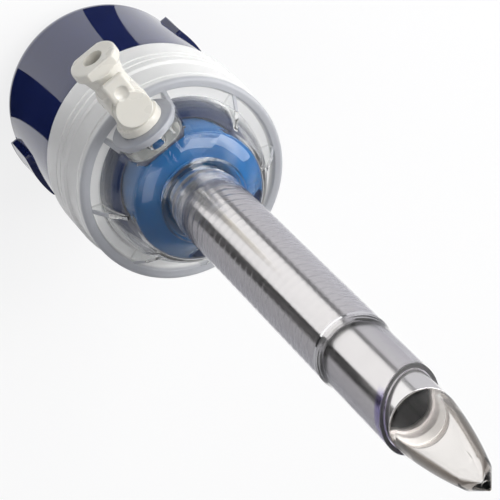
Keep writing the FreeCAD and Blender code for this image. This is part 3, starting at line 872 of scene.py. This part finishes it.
def valve_housing():
    """Bowl with stepped and grooved side, dome, fins and socket, hollowed in one cut."""
    z, front = HOUSING_FOOT, HOUSING_FRONT
    floor, roof = front - 1.5, front - 3.0
    front_r = HOUSING_R - 0.6
    neck = TUBE_SKIN + 2.0
    rim_in = front_r - 1.9
    groove = 0.35
    outline = [(0, z), (HOUSING_R, z, 0.5)]
    for level, r in ((z + 6.2, HOUSING_R), (z + 8.5, HOUSING_R), (z + 17.0, front_r)):
        if r < HOUSING_R:
            outline += [(HOUSING_R, z + 11.0, 0.2), (front_r, z + 11.3, 0.15)]
        outline += [(r, level, 0.15), (r - groove, level, 0.12), (r - groove, level + 0.5, 0.12),
                    (r, level + 0.5, 0.15)]
    foot, shoulder, crown = (DOME_FOOT_R, floor), (SHOULDER_R, SHOULDER_Z), (neck, HOUSING_TOP - 0.4)
    outline += [(front_r, front, 1.6), (rim_in, front, 0.3), (rim_in - 0.4, floor, 0.3), foot + (0.4,)]
    outline += arch(foot, shoulder, 0.06) + [shoulder + (0.5,)] + arch(shoulder, crown, 0.12)
    outline += [crown + (0.2,), (neck - 0.4, HOUSING_TOP, 0.2), (0, HOUSING_TOP)]
    body = lathe("valve_bowl", outline, smooth=30)
    combine(body, fins(rim_in, floor, front), "UNION")
    combine(body, socket(), "UNION")
    spigot, bore, seat_r = 18.3, front_r - 1.6, TUBE_SKIN + 1.35
    inner_foot, inner_shoulder = (DOME_FOOT_R - 1.3, roof), (SHOULDER_R - 1.3, SHOULDER_Z - 0.65)
    hollow = [(0, z - 1), (spigot, z - 1), (spigot, z + 1.3), (spigot + 1.3, z + 1.3),
              (spigot + 1.3, z + 3.8), (spigot, z + 3.8), (spigot, z + 5.0, 0.2), (bore, z + 7.8, 0.3),
              (bore, roof, 0.5), inner_foot + (0.3,)]
    hollow += arch(inner_foot, inner_shoulder, 0.06) + [inner_shoulder + (0.6,)]
    throat = TUBE_SKIN + 0.05
    hollow += [(seat_r, TUBE_FOOT), (seat_r, TUBE_FOOT + 1.05), (throat, TUBE_FOOT + 1.05),
               (throat, HOUSING_TOP + 1), (0, HOUSING_TOP + 1)]
    combine(body, lathe("inside", hollow), "DIFFERENCE")
    stem_seat = cylinder("stem_seat", 4.05, (0, -16.25, STOPCOCK_Z), (0, -22, STOPCOCK_Z), "Y", 96)
    combine(body, stem_seat, "DIFFERENCE")
    duct = cylinder("duct", 1.2, (0, -9.5, STOPCOCK_Z), (0, -17, STOPCOCK_Z), "Y", 48)
    combine(body, duct, "DIFFERENCE")
    soften_edges(body, 0.12, 2, 50, 35)
    return body


def fins(rim_in, floor, front):
    """Eight fins from the dome's side to the rim."""
    half = sizes().fin_thickness / MM / 2
    top = SHOULDER_Z - 0.8
    fin = block("fin", (SHOULDER_R - 1.0, -half, floor - 0.5), (rim_in + 0.5, half, top))
    ridge = [(SHOULDER_R + 0.8, top), (rim_in - 1.2, front + 3.0), (rim_in + 0.2, front - 0.3),
             (rim_in + 0.5, front - 0.9)]
    pick(fin)
    for (r0, z0), (r1, z1) in zip(ridge, ridge[1:]):
        bpy.ops.object.mode_set(mode="EDIT")
        bpy.ops.mesh.select_all(action="SELECT")
        normal = Vector((z0 - z1, 0, r1 - r0)).normalized()
        bpy.ops.mesh.bisect(plane_co=(r0 * MM, 0, z0 * MM), plane_no=normal,
                            use_fill=True, clear_outer=True)
        bpy.ops.object.mode_set(mode="OBJECT")
    soften_edges(fin, 0.2, 3, 30)
    return copies(fin, 8, math.radians(22.5))


def socket():
    """Round boss that takes the stopcock's stem."""
    boss = lathe("boss", [(0, 9.0), (6.3, 9.0), (6.3, 17.0, 0.6), (6.8, 17.4, 0.2), (6.8, 18.5, 0.3),
                          (0, 18.5)], steps=96)
    return along_branch(boss, STOPCOCK_Z)


class TROCAR_OT_valve(bpy.types.Operator):
    """Blue duckbill valve and the navy ring that holds it"""
    bl_idname = "trocar.valve"
    bl_label = "Duckbill valve"

    def execute(self, context):
        settle(duckbill(), blue_silicone(), "blue_silicone", "cannula", "duckbill_valve")
        dark, shader = moulded("Navy inner moulding", (0.006, 0.018, 0.065), 0.8, low=0.35, high=0.5)
        shader.inputs["IOR"].default_value = 1.4
        settle(retainer(), dark, "navy_plastic", "cannula", "valve_retainer")
        return {"FINISHED"}


def duckbill():
    z = DUCKBILL_FOOT
    outer = 12.8
    bend, rim = (outer, z + 8.0), (SHAFT_R + 1.12, DUCKBILL_TOP)
    lip, inner = (SHAFT_R + 0.12, DUCKBILL_TOP - 0.5), (outer - 1.0, z + 7.5)
    outline = [(outer - 1.0, z, 0.2), (18.5, z, 0.3), (18.5, z + 1.9, 0.3), (outer, z + 1.9, 0.3), bend]
    outline += arch(bend, rim, 0.2, 16) + [rim + (0.3,), (lip[0], DUCKBILL_TOP, 0.2), lip]
    outline += arch(lip, inner, -0.2, 14) + [inner]
    return lathe("valve_skin", outline, smooth=45)


def retainer():
    outer, inner = 14.9, 13.0
    flange_top = HOUSING_FOOT + 16.95
    return lathe("valve_ring", [
        (inner, RETAINER_FOOT, 0.2), (RETAINER_FLANGE_R, RETAINER_FOOT, 0.3),
        (RETAINER_FLANGE_R, flange_top, 0.3), (outer, flange_top, 0.3),
        (outer, RETAINER_TOP, 0.6), (inner, RETAINER_TOP, 0.4)], smooth=35)


class TROCAR_OT_stopcock(bpy.types.Operator):
    """White stopcock body with its luer end, and the tap with its lever"""
    bl_idname = "trocar.stopcock"
    bl_label = "Stopcock"

    def execute(self, context):
        milk = milk_plastic()
        settle(stopcock_body(), milk, "white_plastic", "cannula", "stopcock_body")
        settle(stopcock_tap(), milk, "white_plastic", "tap", "stopcock_tap")
        return {"FINISHED"}


TAP_REACH = 25.5
PLUG_R = 2.3
BARREL_R = 3.9


def stopcock_body():
    z = STOPCOCK_Z
    arm = lathe("stopcock_arm", [
        (0, 16.3), (4.0, 16.3, 0.2), (4.0, 18.6), (4.6, 18.6, 0.3), (4.6, 20.5, 0.4), (4.0, 20.6, 0.2),
        (3.5, 24.0), (3.5, 30.6, 1.5), (4.4, LUER_END - 2.2, 0.5), (LUER_R, LUER_END - 2.1, 0.3),
        (LUER_R, LUER_END, 0.4), (0, LUER_END)], steps=96)
    along_branch(arm, z)
    for side in (1, -1):
        low, high = sorted((side * 4.0, side * 8.0))
        flat = block("flat", (-8, -LUER_END - 1, z + low), (8, -LUER_END + 2.4, z + high))
        combine(arm, flat, "DIFFERENCE")
    barrel = cylinder("barrel", BARREL_R, (0, -TAP_REACH, BARREL_FOOT), (0, -TAP_REACH, BARREL_TOP),
                      "Z", 96)
    combine(arm, barrel, "UNION")
    melt(arm, 0.13, 6)
    hollow = cylinder("plug_hole", PLUG_R + 0.05, (0, -TAP_REACH, BARREL_FOOT + 0.9),
                      (0, -TAP_REACH, BARREL_TOP + 3), "Z", 96)
    combine(arm, hollow, "DIFFERENCE")
    taper = lathe("luer_bore", [(0, 12), (1.2, 12), (1.2, LUER_END - 7.5), (1.915, LUER_END - 7.5),
                                (2.14, LUER_END + 0.01), (2.17, LUER_END + 1), (0, LUER_END + 1)], steps=96)
    combine(arm, along_branch(taper, z), "DIFFERENCE")
    bpy.ops.object.shade_smooth_by_angle(angle=math.radians(50))
    return arm


def stopcock_tap():
    z = STOPCOCK_Z
    base = BARREL_TOP + 0.2
    top = TAP_TOP
    hub = cylinder("tap_hub", BARREL_R - 0.2, (0, -TAP_REACH, base), (0, -TAP_REACH, top), "Z", 96)
    arm = block("lever", (-2.5, -TAP_REACH - 7.6, base + 0.2), (2.5, -TAP_REACH, top - 0.2), 0.6, 4)
    combine(hub, arm, "UNION")
    dimple = lathe("dimple", [(0, -2.0)] + bow((0, -2.0), (2.0, 0), (0, 2.0), 24) + [(0, 2.0)], steps=48)
    placed(dimple, Matrix.Translation((0, (-TAP_REACH - 4.4) * MM, (top + 1.2) * MM)))
    combine(hub, dimple, "DIFFERENCE")
    melt(hub, 0.1, 6)
    plug = cylinder("plug", PLUG_R, (0, -TAP_REACH, BARREL_FOOT + 0.95), (0, -TAP_REACH, base + 0.5),
                    "Z", 96)
    passage = cylinder("passage", 1.2, (0, -TAP_REACH - 8, z), (0, -TAP_REACH + 8, z), "Y", 48)
    combine(plug, passage, "DIFFERENCE")
    combine(hub, plug, "UNION")
    bpy.ops.object.shade_smooth_by_angle(angle=math.radians(50))
    return hub


CARRIED = {
    "scope_grip": "black", "handle_core": "grey", "shaft_collar": "grey", "button_spring_right": "spring",
    "button_spring_left": "spring", "seal_lid": "white", "seal_housing": "white", "seal_ring_upper": "white",
    "seal_ring_lower": "white", "instrument_seal": "seal", "seal_protector": "clear", "seal_oring": "seal",
    "valve_clamp": "white",
}


class TROCAR_OT_inner_finish(bpy.types.Operator):
    """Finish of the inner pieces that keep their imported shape"""
    bl_idname = "trocar.inner_finish"
    bl_label = "Inner pieces"

    def execute(self, context):
        finishes = {
            "black": moulded("Black rubber", (0.02, 0.02, 0.021), 0.7, low=0.45, high=0.65, waviness=0.1)[0],
            "grey": moulded("Grey moulding", (0.30, 0.31, 0.33), 0.9, low=0.35, high=0.5, waviness=0.06)[0],
            "white": moulded("White inner moulding", (0.72, 0.72, 0.70), 0.95, low=0.3, high=0.45,
                             waviness=0.05)[0],
            "seal": moulded("Pale elastomer", (0.62, 0.58, 0.50), 0.9, low=0.4, high=0.55, waviness=0.08)[0],
            # The second colour is the painted shade where the clear plastic is seen edge on.
            "clear": clear_plastic("Clear inner plastic", (0.94, 0.95, 0.95), (0.6, 0.6, 0.6), 4.0,
                                   0.05, 0.12)[0],
            "spring": spring_steel(),
        }
        for node, finish in CARRIED.items():
            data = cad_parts[node].data
            data.materials.clear()
            data.materials.append(finishes[finish])
        return {"FINISHED"}


# Stage: floor, flags, lights and camera
VIEW_AZIMUTH = 6.0
VIEW_ELEVATION = 58.0
CAMERA_DISTANCE = 0.5
FOCAL_PIXELS = 2675.0
IMAGE_SIDE = 500
SENSOR = 36.0
AIM_HEIGHT = 0.090
AIM_PIXEL = (247.7, 244.5)
ROLL_RIGHT = (0.702, 0.712)


def view_axes():
    """Unit vectors towards the camera, to its right and up, in the object's frame."""
    a = math.radians(VIEW_AZIMUTH)
    e = math.radians(VIEW_ELEVATION)
    front = Vector((math.sin(a), -math.cos(a), 0))
    side = Vector((-math.cos(a), -math.sin(a), 0))
    up = Vector((0, 0, 1))
    back = front * math.cos(e) + up * math.sin(e)
    tipward = up * math.cos(e) - front * math.sin(e)
    right = (ROLL_RIGHT[0] * tipward + ROLL_RIGHT[1] * side).normalized()
    return back, right, back.cross(right), front, side


class TROCAR_OT_stage(bpy.types.Operator):
    """Pale floor, soft lights, dark flags for the reflections, and the camera"""
    bl_idname = "trocar.stage"
    bl_label = "Stage"

    def execute(self, context):
        floor_plane()
        world_light()
        soft_lights()
        dark_flags()
        camera()
        return {"FINISHED"}


def floor_plane():
    deselect()
    bpy.ops.mesh.primitive_plane_add(size=4.0, location=(0, 0, -0.0002))
    floor = bpy.context.object
    floor.name = "floor"
    bpy.ops.object.transform_apply(location=True)
    material = bpy.data.materials.new("Pale floor")
    material.use_nodes = True
    nodes, links = material.node_tree.nodes, material.node_tree.links
    nodes.clear()
    output = nodes.new("ShaderNodeOutputMaterial")
    paint = nodes.new("ShaderNodeBsdfDiffuse")
    paint.inputs["Color"].default_value = (0.86, 0.86, 0.86, 1)
    white = nodes.new("ShaderNodeEmission")
    white.inputs["Strength"].default_value = 1.0
    path = nodes.new("ShaderNodeLightPath")
    seen = path.outputs["Is Camera Ray"]
    for ray in ("Is Glossy Ray", "Is Transmission Ray"):
        seen = math_of(material, "MAXIMUM", seen, path.outputs[ray])
    glow = math_of(material, "MULTIPLY", seen, 0.8)
    mix = nodes.new("ShaderNodeMixShader")
    links.new(glow, mix.inputs["Fac"])
    links.new(paint.outputs[0], mix.inputs[1])
    links.new(white.outputs[0], mix.inputs[2])
    links.new(mix.outputs[0], output.inputs["Surface"])
    floor.data.materials.append(material)


def world_light():
    world = bpy.data.worlds.new("Studio")
    bpy.context.scene.world = world
    world.use_nodes = True
    sky = world.node_tree.nodes["Background"]
    sky.inputs["Color"].default_value = (0.93, 0.94, 1.0, 1)
    sky.inputs["Strength"].default_value = 0.32


LIGHTS = (
    # name, direction (azimuth from the view, elevation), distance, width, height, power
    ("key", 65, 45, 0.7, 0.4, 0.4, 2.5),
    ("fill", -50, 50, 0.8, 0.5, 0.5, 1.2),
    ("back", 104, 28, 0.6, 0.45, 0.4, 2.9),
)


def soft_lights():
    _, _, _, front, side = view_axes()
    for name, azimuth, elevation, distance, width, height, power in LIGHTS:
        a, e = math.radians(azimuth), math.radians(elevation)
        level = front * math.cos(a) + side * math.sin(a)
        towards = level * math.cos(e) + Vector((0, 0, 1)) * math.sin(e)
        data = bpy.data.lights.new(name, "AREA")
        data.shape = "RECTANGLE"
        data.size, data.size_y, data.energy = width, height, power
        lamp = bpy.data.objects.new(name, data)
        bpy.context.scene.collection.objects.link(lamp)
        lamp.matrix_world = (Matrix.Translation(towards * distance + Vector((0, 0, 0.08)))
                             @ towards.to_track_quat("Z", "Y").to_matrix().to_4x4())


FLAGS = (
    # first and last azimuth from the view's front, inner and outer radius in mm, grey level,
    # and whether it is seen through clear plastic
    (-61, -27, 21.9, 48, 0.0, False),
    (33, 55, 21.9, 48, 0.02, False),
    (-65, -34, 50, 150, 0.03, True),
    (-150, -65, 50, 150, 0.36, True),
    (43, 57, 50, 150, 0.18, True),
    (57, 150, 50, 150, 0.60, True),
)


def dark_flags():
    """Cards that lie on the floor and show only in reflections and through clear plastic."""
    _, _, _, front, side = view_axes()
    for number, (first, last, inner, outer, level, through) in enumerate(FLAGS):
        steps = max(int((last - first) / 4), 2)
        ring = []
        for r, order in ((inner, range(steps + 1)), (outer, range(steps, -1, -1))):
            for k in order:
                a = math.radians(first + (last - first) * k / steps)
                ring.append((front * math.cos(a) + side * math.sin(a)) * r * MM + Vector((0, 0, 0.0002)))
        deselect()
        bpy.ops.mesh.primitive_circle_add(vertices=len(ring), fill_type="NGON")
        card = bpy.context.object
        card.name = "flag_%d" % number
        for vertex, place in zip(card.data.vertices, ring):
            vertex.co = place
        material = bpy.data.materials.new("Flag %d" % number)
        material.use_nodes = True
        nodes, links = material.node_tree.nodes, material.node_tree.links
        nodes.clear()
        output = nodes.new("ShaderNodeOutputMaterial")
        glow = nodes.new("ShaderNodeEmission")
        glow.inputs["Color"].default_value = (level, level, level * 1.05, 1)
        links.new(glow.outputs[0], output.inputs["Surface"])
        card.data.materials.append(material)
        card.visible_camera = False
        card.visible_diffuse = False
        card.visible_shadow = False
        card.visible_transmission = through


def camera():
    back, right, up, _, _ = view_axes()
    data = bpy.data.cameras.new("camera")
    data.sensor_width = SENSOR
    data.lens = FOCAL_PIXELS / IMAGE_SIDE * SENSOR
    data.clip_start = 0.01
    eye = bpy.data.objects.new("camera", data)
    bpy.context.scene.collection.objects.link(eye)
    metres_per_pixel = CAMERA_DISTANCE / FOCAL_PIXELS
    slide = right * (IMAGE_SIDE / 2 - AIM_PIXEL[0]) - up * (IMAGE_SIDE / 2 - AIM_PIXEL[1])
    place = Vector((0, 0, AIM_HEIGHT)) + back * CAMERA_DISTANCE + slide * metres_per_pixel
    eye.matrix_world = Matrix.Translation(place) @ Matrix((right, up, back)).transposed().to_4x4()
    bpy.context.scene.camera = eye


class TROCAR_PT_panel(bpy.types.Panel):
    """Lists the trocar's sizes, colours and operators"""
    bl_label = "Trocar"
    bl_idname = "TROCAR_PT_panel"
    bl_space_type = "VIEW_3D"
    bl_region_type = "UI"
    bl_category = "Trocar"

    def draw(self, context):
        for group in (context.scene.trocar_sizes, context.scene.trocar_colours):
            for name in group.bl_rna.properties.keys():
                if name not in ("rna_type", "name"):
                    self.layout.prop(group, name)
        for operator in OPERATORS:
            self.layout.operator(operator.bl_idname)


OPERATORS = (
    TROCAR_OT_handle, TROCAR_OT_obturator, TROCAR_OT_cannula, TROCAR_OT_valve_housing, TROCAR_OT_valve,
    TROCAR_OT_stopcock, TROCAR_OT_inner_finish, TROCAR_OT_stage,
)
CLASSES = (TrocarSizes, TrocarColours) + OPERATORS + (TROCAR_PT_panel,)


def register():
    for cls in CLASSES:
        bpy.utils.register_class(cls)
    bpy.types.Scene.trocar_sizes = bpy.props.PointerProperty(type=TrocarSizes)
    bpy.types.Scene.trocar_colours = bpy.props.PointerProperty(type=TrocarColours)


def unregister():
    del bpy.types.Scene.trocar_colours
    del bpy.types.Scene.trocar_sizes
    for cls in reversed(CLASSES):
        bpy.utils.unregister_class(cls)


def main():
    register()
    bpy.context.scene.view_settings.view_transform = "Standard"
    bpy.ops.trocar.handle()
    bpy.ops.trocar.obturator()
    bpy.ops.trocar.cannula()
    bpy.ops.trocar.valve_housing()
    bpy.ops.trocar.valve()
    bpy.ops.trocar.stopcock()
    bpy.ops.trocar.inner_finish()
    bpy.ops.trocar.stage()


if __name__ == "__main__":
    main()
